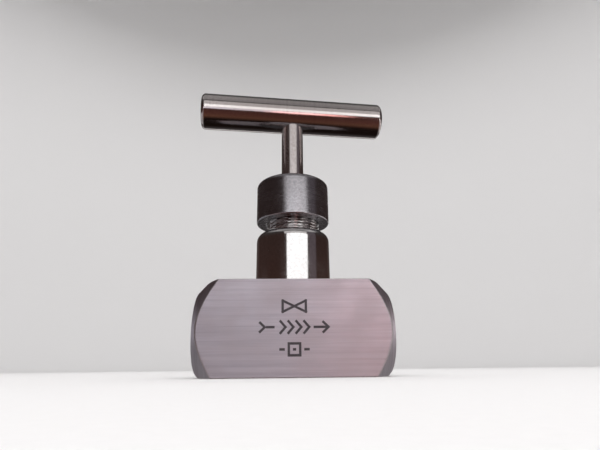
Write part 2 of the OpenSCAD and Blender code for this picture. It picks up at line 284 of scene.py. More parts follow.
def face_outward(mesh):
    """Turns a closed skin the right way out."""
    skin = bmesh.new()
    skin.from_mesh(mesh)
    if skin.calc_volume(signed=True) < 0:
        bmesh.ops.reverse_faces(skin, faces=skin.faces)
        skin.to_mesh(mesh)
    skin.free()


def soften(corners, steps=5):
    """Rounds the corners (radius, height, rounding) of a closed turned outline.
    Gives rows of (radius, height, edge), where edge is 1 on a rounding."""
    rows = []
    for i, (r, z, rounding) in enumerate(corners):
        if not rounding:
            rows.append((r, z, 0.0))
            continue
        here = Vector((r, z))
        before = Vector(corners[i - 1][:2]) - here
        after = Vector(corners[(i + 1) % len(corners)][:2]) - here
        reach = min(rounding, 0.45 * before.length, 0.45 * after.length)
        start, end = here + before.normalized() * reach, here + after.normalized() * reach
        for step in range(steps + 1):
            s = step / steps
            p = start * (1 - s) ** 2 + here * 2 * s * (1 - s) + end * s ** 2
            rows.append((p.x, p.y, 1.0))
    return rows


class Thread:
    """A right-hand thread cut along part of a turned outline, between two heights."""

    def __init__(self, low, high, radius, pitch, depth, inside=False):
        self.low, self.high, self.radius = low, high, radius
        self.pitch, self.depth, self.inside = pitch, depth, inside

    def cut(self, z, turn):
        """How far the groove takes the wall in (or out, for an inside thread)."""
        phase = ((z - self.low) / self.pitch - turn) % 1.0
        wave = abs(2 * phase - 1)
        groove = min(1.0, max(0.0, (0.86 - wave) / 0.72))
        runout = min(1.0, (z - self.low) / self.pitch, (self.high - z) / self.pitch)
        return self.depth * groove * max(0.0, runout) * (1 if self.inside else -1)


def thread_rows(rows, threads, per_pitch=14):
    """Adds the extra rows that each thread needs, and says which thread a row carries."""
    full = []
    for i, (r, z, edge) in enumerate(rows):
        next_r, next_z, _ = rows[(i + 1) % len(rows)]
        full.append((r, z, edge, None))
        for thread in threads:
            lowest, highest = min(z, next_z), max(z, next_z)
            level = abs(r - thread.radius) < 1e-4 and abs(next_r - thread.radius) < 1e-4
            if not level or highest <= thread.low or lowest >= thread.high:
                continue
            count = int(round((thread.high - thread.low) / thread.pitch * per_pitch))
            heights = [thread.low + (thread.high - thread.low) * k / count for k in range(count + 1)]
            heights = [h for h in heights if lowest + 1e-4 < h < highest - 1e-4]
            if next_z < z:
                heights.reverse()
            full += [(r, h, 0.0, thread) for h in heights]
    return full


def turned(name, corners, threads=(), turns=160, place=Matrix.Identity(4)):
    """A piece turned about Z from a closed outline. Corners on the axis become poles."""
    rows = thread_rows(soften(corners), threads)
    points, edge, rings = [], [], []
    for r, z, edge_weight, thread in rows:
        if r < 1e-6:
            rings.append([len(points)])
            points.append(place @ Vector((0, 0, z * MM)))
            edge.append(edge_weight)
            continue
        rings.append(list(range(len(points), len(points) + turns)))
        for k in range(turns):
            angle = TAU * k / turns
            reach = r + (thread.cut(z, k / turns) if thread else 0.0)
            spot = Vector((reach * math.cos(angle), reach * math.sin(angle), z))
            points.append(place @ (spot * MM))
            edge.append(edge_weight)
    faces = []
    for i, ring in enumerate(rings):
        above = rings[(i + 1) % len(rings)]
        faces += bridge(ring, above)
    return new_piece(name, points, faces, edge)


def bridge(ring, above):
    """Faces between two rings, or between a ring and a pole. Two poles need none."""
    if len(ring) == 1 and len(above) == 1:
        return []
    count = max(len(ring), len(above))
    faces = []
    for k in range(count):
        a, b = ring[k % len(ring)], ring[(k + 1) % len(ring)]
        c, d = above[(k + 1) % len(above)], above[k % len(above)]
        faces.append(tuple(dict.fromkeys((a, b, c, d))))
    return faces


def carve(piece, *cutters):
    """Takes the cutters away from the piece, and the cutters with them.
    A cutter with a material leaves it on the faces it cuts."""
    for cutter in cutters:
        step = piece.modifiers.new("carve", "BOOLEAN")
        step.operation = "DIFFERENCE"
        step.solver = "MANIFOLD"
        step.material_mode = "TRANSFER" if cutter.data.materials else "INDEX"
        step.object = cutter
    baked = bpy.data.meshes.new_from_object(piece.evaluated_get(bpy.context.evaluated_depsgraph_get()))
    piece.modifiers.clear()
    baked.name = piece.name
    piece.data = baked
    for cutter in cutters:
        bpy.data.objects.remove(cutter)


def along_x(sign=1, z=0.0, x=0.0):
    """Stands a turned shape's +Z along +X (or -X), at a height and a place on X, in millimetres."""
    return Matrix.Translation(Vector((x, 0, z)) * MM) @ Matrix.Rotation(sign * math.pi / 2, 4, "Y")


def around_z(degrees):
    return Matrix.Rotation(math.radians(degrees), 4, "Z")


def rod(name, radius, low, high, place=Matrix.Identity(4), turns=96):
    """A plain round cutter."""
    return turned(name, [(0, low, 0), (radius, low, 0), (radius, high, 0), (0, high, 0)],
                  turns=turns, place=place)


def made_of(piece, material):
    piece.data.materials.append(material)
    return piece


def prism(name, outline, low, high, place):
    """A straight cutter with any closed outline, drawn in X and Y and standing along Z."""
    count = len(outline)
    points = [place @ (Vector((x, y, z)) * MM) for z in (low, high) for x, y in outline]
    faces = [tuple(reversed(range(count))), tuple(range(count, 2 * count))]
    faces += [(k, (k + 1) % count, count + (k + 1) % count, count + k) for k in range(count)]
    return new_piece(name, points, faces)


def finish_piece(piece, body, slot, *nodes):
    """Crisp edges, even shading on the flats, then the body it rides on and the node it replaces."""
    piece.data.set_sharp_from_angle(angle=CRISP_ANGLE)
    shade = piece.modifiers.new("even_shading", "WEIGHTED_NORMAL")
    shade.keep_sharp = True
    shade.weight = 60
    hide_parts(*nodes)
    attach(piece, body)
    return piece


# ---------------------------------------------------------------- node helpers

def new_material(name):
    material = bpy.data.materials.new(name)
    material.use_nodes = True
    tree = material.node_tree
    shader = tree.nodes["Principled BSDF"]
    return material, tree, shader


def math_node(tree, operation, first, second=None, third=None, clamp=False):
    made = tree.nodes.new("ShaderNodeMath")
    made.operation = operation
    made.use_clamp = clamp
    for socket, value in zip(made.inputs, (first, second, third)):
        if value is None:
            continue
        if isinstance(value, (int, float)):
            socket.default_value = value
        else:
            tree.links.new(value, socket)
    return made.outputs[0]


def remap(tree, value, low, high, to_low, to_high):
    made = tree.nodes.new("ShaderNodeMapRange")
    tree.links.new(value, made.inputs["Value"])
    for key, amount in (("From Min", low), ("From Max", high), ("To Min", to_low), ("To Max", to_high)):
        made.inputs[key].default_value = amount
    return made.outputs[0]


def blend_colour(tree, mask, first, second):
    made = tree.nodes.new("ShaderNodeMix")
    made.data_type = "RGBA"
    tree.links.new(mask, made.inputs["Factor"])
    for key, value in ((6, first), (7, second)):
        if isinstance(value, tuple):
            made.inputs[key].default_value = (*value, 1)
        else:
            tree.links.new(value, made.inputs[key])
    return made.outputs[2]


def blend_value(tree, mask, first, second):
    made = tree.nodes.new("ShaderNodeMix")
    tree.links.new(mask, made.inputs["Factor"])
    tree.links.new(first, made.inputs[2])
    tree.links.new(second, made.inputs[3])
    return made.outputs[0]


def noise_node(tree, vector, scale, detail=3.0, roughness=0.5):
    made = tree.nodes.new("ShaderNodeTexNoise")
    made.inputs["Scale"].default_value = scale
    made.inputs["Detail"].default_value = detail
    made.inputs["Roughness"].default_value = roughness
    tree.links.new(vector, made.inputs["Vector"])
    return made.outputs["Fac"]


def new_group(name, inputs, outputs):
    """A shared effect: inputs and outputs are (name, socket type, default)."""
    group = bpy.data.node_groups.new(name, "ShaderNodeTree")
    for label, kind, default in inputs:
        socket = group.interface.new_socket(name=label, in_out="INPUT", socket_type=kind)
        if default is not None:
            socket.default_value = default
    for label, kind in outputs:
        group.interface.new_socket(name=label, in_out="OUTPUT", socket_type=kind)
    return group, group.nodes.new("NodeGroupInput"), group.nodes.new("NodeGroupOutput")


def use_group(tree, group, **values):
    made = tree.nodes.new("ShaderNodeGroup")
    made.node_tree = group
    for key, value in values.items():
        socket = made.inputs[key]
        if isinstance(value, (int, float)):
            socket.default_value = value
        else:
            tree.links.new(value, socket)
    return made


# ---------------------------------------------------------------- shared metal effects

def make_long_grain():
    """Grain left by a belt along X: streaks Length long and Width apart, in millimetres."""
    group, given, result = new_group(
        "long_grain",
        [("Place", "NodeSocketVector", None), ("Length", "NodeSocketFloat", 30.0),
         ("Width", "NodeSocketFloat", 0.2)],
        [("Height", "NodeSocketFloat"), ("Streaks", "NodeSocketFloat")])
    along = math_node(group, "DIVIDE", 1 / MM, given.outputs["Length"])
    across = math_node(group, "DIVIDE", 1 / MM, given.outputs["Width"])
    stretch = group.nodes.new("ShaderNodeCombineXYZ")
    group.links.new(along, stretch.inputs[0])
    group.links.new(across, stretch.inputs[1])
    group.links.new(across, stretch.inputs[2])
    scaled = group.nodes.new("ShaderNodeVectorMath")
    scaled.operation = "MULTIPLY"
    group.links.new(given.outputs["Place"], scaled.inputs[0])
    group.links.new(stretch.outputs[0], scaled.inputs[1])
    fine = noise_node(group, scaled.outputs[0], 1.0, 4, 0.6)
    broad = noise_node(group, scaled.outputs[0], 0.23, 3, 0.55)
    group.links.new(fine, result.inputs["Height"])
    mixed = math_node(group, "ADD", math_node(group, "MULTIPLY", fine, 0.45),
                      math_node(group, "MULTIPLY", broad, 0.55))
    group.links.new(remap(group, mixed, 0.36, 0.64, 0, 1), result.inputs["Streaks"])
    return group


def make_turning_lines():
    """Lines left by a lathe tool round an axis: the piece's own Z, given as Place."""
    group, given, result = new_group(
        "turning_lines",
        [("Place", "NodeSocketVector", None), ("Spacing", "NodeSocketFloat", 0.12)],
        [("Height", "NodeSocketFloat"), ("Lines", "NodeSocketFloat")])
    parts = group.nodes.new("ShaderNodeSeparateXYZ")
    group.links.new(given.outputs["Place"], parts.inputs[0])
    flat = group.nodes.new("ShaderNodeCombineXYZ")
    group.links.new(parts.outputs["X"], flat.inputs[0])
    group.links.new(parts.outputs["Y"], flat.inputs[1])
    reach = group.nodes.new("ShaderNodeVectorMath")
    reach.operation = "LENGTH"
    group.links.new(flat.outputs[0], reach.inputs[0])
    path = math_node(group, "ADD", parts.outputs["Z"],
                     math_node(group, "MULTIPLY", reach.outputs["Value"], 0.618))
    feed = math_node(group, "MULTIPLY", path, math_node(group, "DIVIDE", 1 / MM, given.outputs["Spacing"]))
    wander = math_node(group, "MULTIPLY", noise_node(group, given.outputs["Place"], 60, 1), 0.8)
    line_place = group.nodes.new("ShaderNodeCombineXYZ")
    group.links.new(feed, line_place.inputs[0])
    group.links.new(wander, line_place.inputs[1])
    fine = noise_node(group, line_place.outputs[0], 1.0, 2, 0.6)
    broad = noise_node(group, line_place.outputs[0], 0.13, 3, 0.6)
    group.links.new(fine, result.inputs["Height"])
    mixed = math_node(group, "ADD", math_node(group, "MULTIPLY", fine, 0.5),
                      math_node(group, "MULTIPLY", broad, 0.5))
    group.links.new(remap(group, mixed, 0.36, 0.64, 0, 1), result.inputs["Lines"])
    return group


def make_handling_marks():
    """Smears and dull patches from hands, and a few hair scratches."""
    group, given, result = new_group(
        "handling_marks",
        [("Place", "NodeSocketVector", None), ("Patch", "NodeSocketFloat", 12.0)],
        [("Smears", "NodeSocketFloat"), ("Scratches", "NodeSocketFloat")])
    grown = group.nodes.new("ShaderNodeVectorMath")
    grown.operation = "SCALE"
    group.links.new(given.outputs["Place"], grown.inputs[0])
    group.links.new(math_node(group, "DIVIDE", 1 / MM, given.outputs["Patch"]), grown.inputs["Scale"])
    smear = noise_node(group, grown.outputs[0], 1.0, 5, 0.62)
    group.links.new(remap(group, smear, 0.42, 0.68, 0, 1), result.inputs["Smears"])
    cells = group.nodes.new("ShaderNodeTexVoronoi")
    cells.feature = "DISTANCE_TO_EDGE"
    cells.inputs["Scale"].default_value = 1.3
    bent = group.nodes.new("ShaderNodeTexNoise")
    bent.inputs["Scale"].default_value = 0.9
    group.links.new(grown.outputs[0], bent.inputs["Vector"])
    pushed = group.nodes.new("ShaderNodeVectorMath")
    pushed.operation = "MULTIPLY_ADD"
    group.links.new(bent.outputs["Color"], pushed.inputs[0])
    pushed.inputs[1].default_value = (1.6, 1.6, 1.6)
    group.links.new(grown.outputs[0], pushed.inputs[2])
    group.links.new(pushed.outputs[0], cells.inputs["Vector"])
    hair = remap(group, cells.outputs["Distance"], 0.0, 0.012, 1, 0)
    broken = remap(group, noise_node(group, grown.outputs[0], 3.1, 2), 0.5, 0.62, 0, 1)
    group.links.new(math_node(group, "MULTIPLY", hair, broken, clamp=True), result.inputs["Scratches"])
    return group


def make_edge_wear_and_glint():
    """Bright rub along edges, partly real rubbing and partly a painted highlight that stands in for the
    glint of light on them, from the edge value that each turned or cut piece carries.
    """
    group, given, result = new_group(
        "edge_wear_and_glint",
        [("Place", "NodeSocketVector", None), ("Edge", "NodeSocketFloat", 0.0)],
        [("Wear_and_glint", "NodeSocketFloat")])
    nicks = remap(group, noise_node(group, given.outputs["Place"], 900, 3), 0.35, 0.6, 0.35, 1)
    group.links.new(math_node(group, "MULTIPLY", given.outputs["Edge"], nicks, clamp=True),
                    result.inputs["Wear_and_glint"])
    return group


LONG_GRAIN = make_long_grain()
TURNING_LINES = make_turning_lines()
HANDLING = make_handling_marks()
EDGE_WEAR_AND_GLINT = make_edge_wear_and_glint()


def place_vector(tree, lying=None):
    """The piece's own place, in metres. For a piece turned on a lying axis, given as (turn about
    Z, height in millimetres), the axis is stood up, so that the lathe lines still run round Z."""
    own = tree.nodes.new("ShaderNodeTexCoord").outputs["Object"]
    if lying is None:
        return own
    turn, height = lying
    level = tree.nodes.new("ShaderNodeMapping")
    level.inputs["Rotation"].default_value = (0, 0, -turn)
    level.inputs["Location"].default_value = (0, 0, -height * MM)
    upright = tree.nodes.new("ShaderNodeMapping")
    upright.inputs["Rotation"].default_value = (0, math.pi / 2, 0)
    tree.links.new(own, level.inputs["Vector"])
    tree.links.new(level.outputs[0], upright.inputs["Vector"])
    return upright.outputs[0]


def edge_value(tree):
    made = tree.nodes.new("ShaderNodeAttribute")
    made.attribute_name = "edge"
    return made.outputs["Fac"]


def bumped(tree, shader, height, strength, distance):
    bump = tree.nodes.new("ShaderNodeBump")
    bump.inputs["Strength"].default_value = strength
    bump.inputs["Distance"].default_value = distance
    tree.links.new(height, bump.inputs["Height"])
    tree.links.new(bump.outputs[0], shader.inputs["Normal"])


def stretch_gloss(tree, shader, axis, amount, rotation):
    """Spreads the gloss across the tool lines that run round an axis (or along it)."""
    tangent = tree.nodes.new("ShaderNodeTangent")
    tangent.direction_type = "RADIAL"
    tangent.axis = axis
    tree.links.new(tangent.outputs[0], shader.inputs["Tangent"])
    shader.inputs["Anisotropic"].default_value = amount
    shader.inputs["Anisotropic Rotation"].default_value = rotation


# ---------------------------------------------------------------- the valve's finishes

def turned_steel(name, dark, light, rough_low, rough_high, spacing, bump, lying=None, spread=0.0):
    """Stainless steel off the lathe: fine lines round the axis, smears, and edges lightened by rubbing and
    by a painted highlight.
    """
    material, tree, shader = new_material(name)
    place = place_vector(tree, lying)
    lines = use_group(tree, TURNING_LINES, Place=place, Spacing=spacing)
    marks = use_group(tree, HANDLING, Place=place, Patch=14.0)
    wear_and_glint = use_group(tree, EDGE_WEAR_AND_GLINT, Place=place, Edge=edge_value(tree))
    base = blend_colour(tree, lines.outputs["Lines"], dark, light)
    # edges lightened past the light steel tone: real rubbing, and a painted highlight for the glint along
    # them
    rubbed_and_highlit = blend_colour(tree, wear_and_glint.outputs["Wear_and_glint"], base, tuple(min(1, c * 1.12) for c in light))
    tree.links.new(rubbed_and_highlit, shader.inputs["Base Color"])
    rough = remap(tree, lines.outputs["Lines"], 0, 1, rough_low, rough_high)
    tree.links.new(math_node(tree, "MULTIPLY_ADD", marks.outputs["Smears"], 0.07, rough),
                   shader.inputs["Roughness"])
    height = math_node(tree, "MULTIPLY_ADD", marks.outputs["Scratches"], -0.8, lines.outputs["Height"])
    bumped(tree, shader, height, bump, 0.02 * MM)
    shader.inputs["Metallic"].default_value = 1.0
    if spread:
        stretch_gloss(tree, shader, "X" if lying else "Z", spread, 0.25)
    return material


def bar_stock_material():
    """The body: belt-finished bar with streaks along its length, and lathe lines on its turned ends."""
    material, tree, shader = new_material("bar_stock")
    place = place_vector(tree)
    facing = tree.nodes.new("ShaderNodeSeparateXYZ")
    tree.links.new(tree.nodes.new("ShaderNodeTexCoord").outputs["Normal"], facing.inputs[0])
    turned_end = remap(tree, math_node(tree, "ABSOLUTE", facing.outputs["X"]), 0.25, 0.45, 0, 1)
    lathe = use_group(tree, TURNING_LINES, Place=place_vector(tree, (0, PORT_Z)), Spacing=0.16)
    fine = use_group(tree, LONG_GRAIN, Place=place, Length=26.0, Width=0.28)
    broad = use_group(tree, LONG_GRAIN, Place=place, Length=40.0, Width=1.9)
    marks = use_group(tree, HANDLING, Place=place, Patch=16.0)
    wear_and_glint = use_group(tree, EDGE_WEAR_AND_GLINT, Place=place, Edge=edge_value(tree))
    belted = math_node(tree, "ADD", math_node(tree, "MULTIPLY", fine.outputs["Streaks"], 0.55),
                       math_node(tree, "MULTIPLY", broad.outputs["Streaks"], 0.45))
    streaks = blend_value(tree, turned_end, belted, lathe.outputs["Lines"])
    base = blend_colour(tree, streaks, (0.48, 0.45, 0.505), (0.84, 0.80, 0.875))
    smeared = blend_colour(tree, math_node(tree, "MULTIPLY", marks.outputs["Smears"], 0.35), base,
                           (0.76, 0.69, 0.73))
    # edges lightened to near white: real rubbing, and a painted highlight for the bright rim glint on the
    # turned ends
    rubbed_and_highlit = blend_colour(tree, wear_and_glint.outputs["Wear_and_glint"], smeared, (0.93, 0.91, 0.92))
    tree.links.new(rubbed_and_highlit, shader.inputs["Base Color"])
    rough = remap(tree, streaks, 0, 1, 0.34, 0.44)
    tree.links.new(math_node(tree, "MULTIPLY_ADD", marks.outputs["Smears"], 0.07, rough),
                   shader.inputs["Roughness"])
    belt_height = math_node(tree, "MULTIPLY_ADD", broad.outputs["Streaks"], 0.5, fine.outputs["Height"])
    tool_height = blend_value(tree, turned_end, belt_height, lathe.outputs["Height"])
    height = math_node(tree, "MULTIPLY_ADD", marks.outputs["Scratches"], -0.8, tool_height)
    bumped(tree, shader, height, 0.6, 0.03 * MM)
    shader.inputs["Metallic"].default_value = 1.0
    stretch_gloss(tree, shader, "X", 0.75, 0.0)
    return material


def etched_mark_material():
    """The burnt floor of the etched flow marks."""
    material, tree, shader = new_material("etched_mark")
    place = place_vector(tree)
    soot = noise_node(tree, place, 1400, 4)
    tree.links.new(blend_colour(tree, soot, (0.035, 0.028, 0.034), (0.11, 0.095, 0.105)),
                   shader.inputs["Base Color"])
    tree.links.new(remap(tree, soot, 0.3, 0.7, 0.55, 0.8), shader.inputs["Roughness"])
    bumped(tree, shader, soot, 0.4, 0.05 * MM)
    shader.inputs["Metallic"].default_value = 0.4
    return material


def paper_material():
    """Pale floor paper with a faint tooth."""
    material, tree, shader = new_material("floor_paper")
    place = place_vector(tree)
    tooth = noise_node(tree, place, 700, 4)
    tree.links.new(blend_colour(tree, tooth, (0.80, 0.80, 0.80), (0.84, 0.84, 0.84)),
                   shader.inputs["Base Color"])
    tree.links.new(remap(tree, tooth, 0.3, 0.7, 0.85, 0.95), shader.inputs["Roughness"])
    return material


def soft_material(name, dark, light, rough, grain):
    """Plastic or rubber: a fine mottle in colour, gloss and surface."""
    material, tree, shader = new_material(name)
    place = place_vector(tree)
    mottle = noise_node(tree, place, grain, 4, 0.6)
    tree.links.new(blend_colour(tree, mottle, dark, light), shader.inputs["Base Color"])
    tree.links.new(remap(tree, mottle, 0.3, 0.7, rough - 0.06, rough + 0.06), shader.inputs["Roughness"])
    bumped(tree, shader, mottle, 0.25, 0.02 * MM)
    return material


# ---------------------------------------------------------------- body

def smooth_min(a, b, size):
    """The smaller of two reaches, rounded over where they cross."""
    near = max(size - abs(a - b), 0.0) / size
    return min(a, b) - near * near * size / 4


def bar_sides():
    """The bar's four sides round the port axis: (direction, distance)."""
    return [(0.0, BODY_HALF_W), (TAU / 4, BODY_TOP - PORT_Z), (TAU / 2, BODY_HALF_W), (3 * TAU / 4, PORT_Z)]


def bar_reach(angle, turned_r):
    """How far the blank's skin is from the port axis, and how near that is to an edge."""
    reaches = sorted(d / max(math.cos(angle - a), 0.05) for a, d in bar_sides())
    square = smooth_min(reaches[0], reaches[1], LONG_EDGE)
    reach = smooth_min(square, turned_r, TURNED_EDGE)
    corner = max(0.0, 1 - (reaches[1] - reaches[0]) / LONG_EDGE)
    turned_edge = max(0.0, 1 - abs(square - turned_r) / TURNED_EDGE)
    return reach, max(corner if turned_r > reaches[0] else 0.0, turned_edge)


def bar_columns(turned_r):
    """Angles round one section, gathered where the turning crosses each flat."""
    sides = bar_sides()
    angles = []
    for i, (direction, distance) in enumerate(sides):
        next_direction, next_distance = sides[(i + 1) % 4]
        corner = math.atan2(next_distance, distance)
        for span, reach, backwards in ((corner, distance, False), (TAU / 4 - corner, next_distance, True)):
            crossing = math.acos(min(1.0, reach / turned_r))
            half = 0.03
            crossing = min(max(crossing, 0.16), span - 2.5 * half)
            marks = [crossing * k / 9 * (1 - half / crossing) for k in range(9)]
            marks += [crossing - half + 2 * half * k / 8 for k in range(9)]
            rest = span - crossing - half
            marks += [crossing + half + rest * (1 - (1 - k / 9) ** 1.6) for k in range(1, 9)]
            if backwards:
                angles += [direction + TAU / 4 - m for m in reversed(marks[1:])]
                continue
            angles += [direction + m for m in marks] + [direction + corner]
    return angles


def bar_blank():
    """Square bar with both ends turned down on the port axis, as one closed skin."""
    full_r = math.hypot(BODY_HALF_W, BODY_TOP - PORT_Z) + 1.5
    slope = 1 / math.tan(END_ANGLE)
    rounding = 0.3
    stations = [(0.0, END_FACE_R - rounding)]
    for step in range(1, 5):
        turn = step / 4 * END_ANGLE
        stations.append((rounding * (1 - math.cos(turn)),
                         END_FACE_R - rounding + rounding * math.sin(turn)))
    steps = 60
    for step in range(1, steps + 1):
        r = END_FACE_R + (full_r - END_FACE_R) * step / steps
        stations.append(((r - END_FACE_R) * slope + 0.1, r))
    left = [(-BODY_HALF_L + depth, r) for depth, r in stations]
    right = [(-x, r) for x, r in reversed(left)]
    middle = [(left[-1][0] * (1 - 2 * k / 10), full_r) for k in range(1, 10)]
    points, edge, rings = [(-BODY_HALF_L * MM, 0, PORT_Z * MM)], [0.0], [[0]]
    for x, turned_r in left + middle + right:
        ring = []
        for angle in bar_columns(turned_r):
            reach, edge_weight = bar_reach(angle, turned_r)
            ring.append(len(points))
            points.append((x * MM, reach * math.cos(angle) * MM, (PORT_Z + reach * math.sin(angle)) * MM))
            edge.append(edge_weight)
        rings.append(ring)
    rings.append([len(points)])
    points.append((BODY_HALF_L * MM, 0, PORT_Z * MM))
    edge.append(0.0)
    faces = []
    for ring, above in zip(rings, rings[1:]):
        faces += [tuple(reversed(face)) for face in bridge(above, ring)]
    return new_piece("body_steel", points, faces, edge)


def pipe_port(name, sign):
    """Cutter for one port: countersink, taper pipe thread and drill point, going in from the face."""
    turns, rows = 144, []
    depth = -1.0
    while depth < PORT_DEPTH:
        rows.append(depth)
        depth += PIPE_PITCH / 13
    rows.append(PORT_DEPTH)
    points, rings = [Vector((0, 0, rows[0]))], [[0]]
    for depth in rows:
        ring = []
        for k in range(turns):
            turn = k / turns
            mouth = PORT_MOUTH_R - depth * 1.0
            phase = (depth / PIPE_PITCH + turn) % 1.0
            groove = min(1.0, max(0.0, (0.93 - abs(2 * phase - 1)) / 0.86))
            runout = min(1.0, max(0.0, (PORT_DEPTH - 1.5 - depth) / PIPE_PITCH))
            crest = PORT_R - depth * PIPE_TAPER
            reach = max(PORT_R, mouth, crest + PIPE_THREAD_DEPTH * groove * runout)
            ring.append(len(points))
            points.append(Vector((reach * math.cos(TAU * turn), reach * math.sin(TAU * turn), depth)))
        rings.append(ring)
    rings.append([len(points)])
    points.append(Vector((0, 0, PORT_DEPTH + PORT_R * DRILL_SLOPE)))
    place = along_x(-sign, PORT_Z, sign * BODY_HALF_L)
    faces = []
    for ring, above in zip(rings, rings[1:]):
        faces += bridge(ring, above)
    return new_piece(name, [place @ (p * MM) for p in points], faces)


def bars_along(path, wide):
    """Outlines of the straight bars that draw a path, each a little long so corners fill."""
    bars = []
    for (x1, z1), (x2, z2) in zip(path, path[1:]):
        along = Vector((x2 - x1, z2 - z1)).normalized() * wide / 2
        side = Vector((-along.y, along.x))
        start, end = Vector((x1, z1)) - along, Vector((x2, z2)) + along
        bars.append([start - side, end - side, end + side, start + side])
    return bars


def flow_marks():
    """Plain etched signs on the front: a valve sign, a flow arrow and a bar-end sign."""
    wide = 0.95
    high, low, middle = 26.9, 10.4, 18.8
    paths = [
        [(-4.6, high - 2.2), (-4.6, high + 2.2), (4.6, high - 2.2), (4.6, high + 2.2), (-4.6, high - 2.2)],
        [(-13.4, middle + 1.7), (-11.6, middle), (-13.4, middle - 1.7)],
        [(-10.6, middle), (-8.2, middle)],
        [(8.0, middle), (13.2, middle)],
        [(11.4, middle + 1.9), (13.4, middle), (11.4, middle - 1.9)],
        [(-2.2, low - 2.2), (2.2, low - 2.2), (2.2, low + 2.2), (-2.2, low + 2.2), (-2.2, low - 2.2)],
        [(-0.15, low), (0.15, low)],
        [(-5.4, low), (-4.2, low)],
        [(4.2, low), (5.4, low)],
    ]
    for k in range(4):
        x = -5.4 + 3.1 * k
        paths.append([(x, middle + 2.2), (x + 1.9, middle), (x, middle - 2.2)])
    return [bar for path in paths for bar in bars_along(path, wide)]


def body_piece():
    body = made_of(bar_blank(), bar_stock_material())
    inner = BODY_HALF_L - PORT_DEPTH
    tapped = turned_steel("tapped_port", (0.40, 0.38, 0.39), (0.58, 0.56, 0.57), 0.24, 0.36, 0.12, 0.3,
                          lying=(0, PORT_Z))
    on_front = Matrix.Translation(Vector((0, -BODY_HALF_W, 0)) * MM) @ Matrix.Rotation(math.pi / 2, 4, "X")
    carve(
        body,
        made_of(pipe_port("inlet_tap", -1), tapped),
        made_of(pipe_port("outlet_tap", 1), tapped),
        rod("inlet_drill", PASSAGE_R, 0, inner + 3, along_x(-1, INLET_DRILL_Z)),
        rod("outlet_drill", PASSAGE_R, 0, inner + 3, along_x(1, OUTLET_DRILL_Z)),
        rod("orifice_drill", PASSAGE_R, INLET_DRILL_Z, SEAT_LOW[2] + 0.2),
        rod("seat_pocket", SEAT_HIGH[0] + 0.02, SEAT_LOW[2], SEAT_HIGH[2] + 0.2),
        rod("cavity_bore", CAVITY_R, SEAT_HIGH[2], BODY_TOP),
        rod("bonnet_bore", SPIGOT_R + 0.05, SEAL_LOW[2], BODY_TOP + 1),
        rod("pin_drill", PIN_HOLE_R, PIN_LOW[2], BODY_TOP + 1, PIN_PLACE),
    )
    etched = etched_mark_material()
    carve(body, *[made_of(prism(f"mark_cut_{i}", bar, -MARK_DEPTH, 1, on_front), etched)
                  for i, bar in enumerate(flow_marks())])
    return finish_piece(body, "valve_body", "body_steel", "body")


# ---------------------------------------------------------------- bonnet and gland cap

def bonnet_piece():
    low, top = BONNET_LOW[2], BONNET_HIGH[2]
    neck = Thread(SHOULDER_Z + 0.2, top - 1.0, NECK_R, NECK_PITCH, NECK_THREAD_DEPTH)
    spigot = Thread(low + 1.0, BODY_TOP - 2.0, SPIGOT_R, NECK_PITCH, NECK_THREAD_DEPTH)
    nut = Thread(NUT_Z + 0.2, BACKSEAT_Z - 0.2, NUT_R, NECK_PITCH, STEM_THREAD_DEPTH, inside=True)
    shoulder = [(BONNET_R - SHOULDER_ROUND * (1 - math.cos(turn)),
                 SHOULDER_Z - SHOULDER_ROUND * (1 - math.sin(turn)), 0.5)
                for turn in (math.radians(15 * step) for step in range(7))]
    bonnet = turned("bonnet_steel", [
        (GUIDE_R, low, 0.3), (SPIGOT_R - 0.8, low, 0.2), (SPIGOT_R, low + 0.8, 0),
        (SPIGOT_R, BODY_TOP - 1.5, 0.1), (SPIGOT_R - 1, BODY_TOP - 1.5, 0.2), (SPIGOT_R - 1, BODY_TOP, 0.2),
        (BONNET_R, BODY_TOP, 0.35), *shoulder, (NECK_R, SHOULDER_Z, 0),
        (NECK_R, top - 0.8, 0), (NECK_R - 0.8, top, 0.2), (CHAMBER_R + 0.6, top, 0.1),
        (CHAMBER_R, top - 0.6, 0.1), (CHAMBER_R, WASHER_LOW[2], 0.2), (STEM_HOLE_R, WASHER_LOW[2], 0.1),
        (STEM_HOLE_R, BACKSEAT_Z + NUT_R - STEM_HOLE_R, 0.1), (NUT_R, BACKSEAT_Z, 0),
        (NUT_R, NUT_Z, 0), (GUIDE_R, NUT_Z, 0.1),
    ], threads=(neck, spigot, nut))
    holes = [rod(f"spanner_drill_{i}", SPANNER_R, BONNET_R - SPANNER_DEPTH, BONNET_R + 1,
                 around_z(turn) @ along_x(1, BONNET_SPANNER_Z)) for i, turn in enumerate(SPANNER_TURNS)]
    notch = rod("pin_notch", PIN_HOLE_R, BODY_TOP - 1, PIN_HIGH[2] + 0.1, PIN_PLACE, turns=48)
    made_of(bonnet, turned_steel("polished_bonnet", (0.60, 0.59, 0.59), (0.70, 0.695, 0.695),
                                 0.07, 0.11, 0.10, 0.09))
    carve(bonnet, *holes, notch)
    return finish_piece(bonnet, "valve_body", "bonnet_steel", "bonnet")


